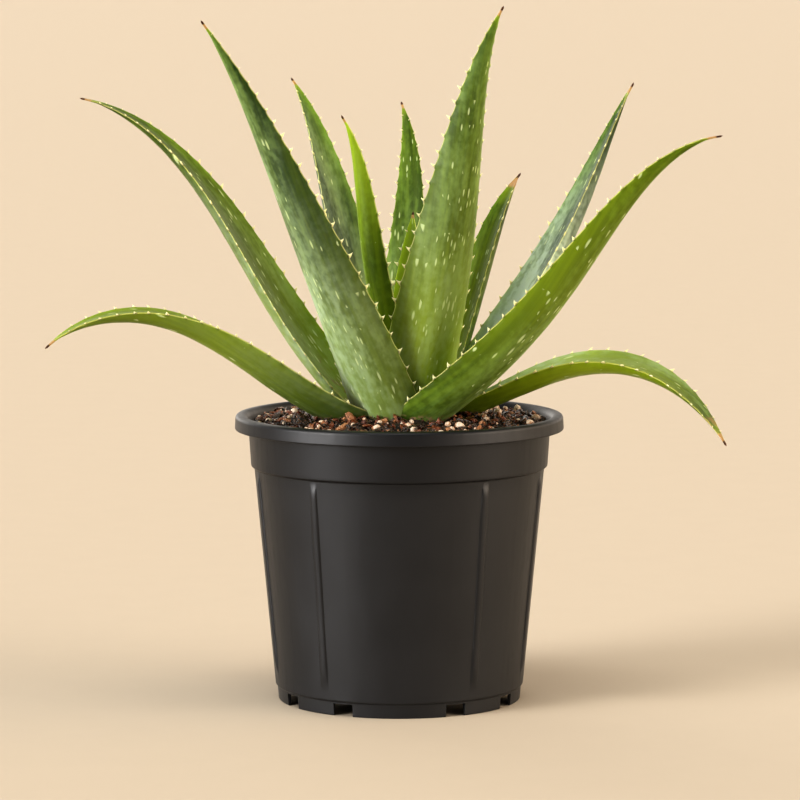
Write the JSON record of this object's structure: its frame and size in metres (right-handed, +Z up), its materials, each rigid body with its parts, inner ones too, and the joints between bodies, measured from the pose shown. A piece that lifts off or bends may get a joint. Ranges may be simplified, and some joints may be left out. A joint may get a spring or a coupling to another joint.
{
  "type": "potted aloe vera",
  "caption": "Rosette of thick, toothed succulent leaves growing from bark potting mix in a round tapered plastic nursery pot with a rolled rim and a notched foot.",
  "frame": {"origin": "on the surface the pot stands on, under the pot's axis", "axes": "+Z up along the pot's axis; -Y is the front, between two upright beads of the pot"},
  "size_m": [0.3313, 0.1841, 0.3471],
  "materials": {
    "pot": "satin black moulded polypropylene",
    "soil": "damp bark and peat potting mix with pale perlite",
    "stem": "pale fibrous stem",
    "leaf": "waxy green succulent skin with cream teeth and pale flecks"
  },
  "bodies": {
    "root": {"pot": "pot", "soil": "soil", "stem": "stem", "leaf_01": "leaf", "leaf_02": "leaf", "leaf_03": "leaf", "leaf_04": "leaf", "leaf_05": "leaf", "leaf_06": "leaf", "leaf_07": "leaf", "leaf_08": "leaf", "leaf_09": "leaf", "leaf_10": "leaf", "leaf_11": "leaf", "leaf_12": "leaf"}
  },
  "joints": []
}
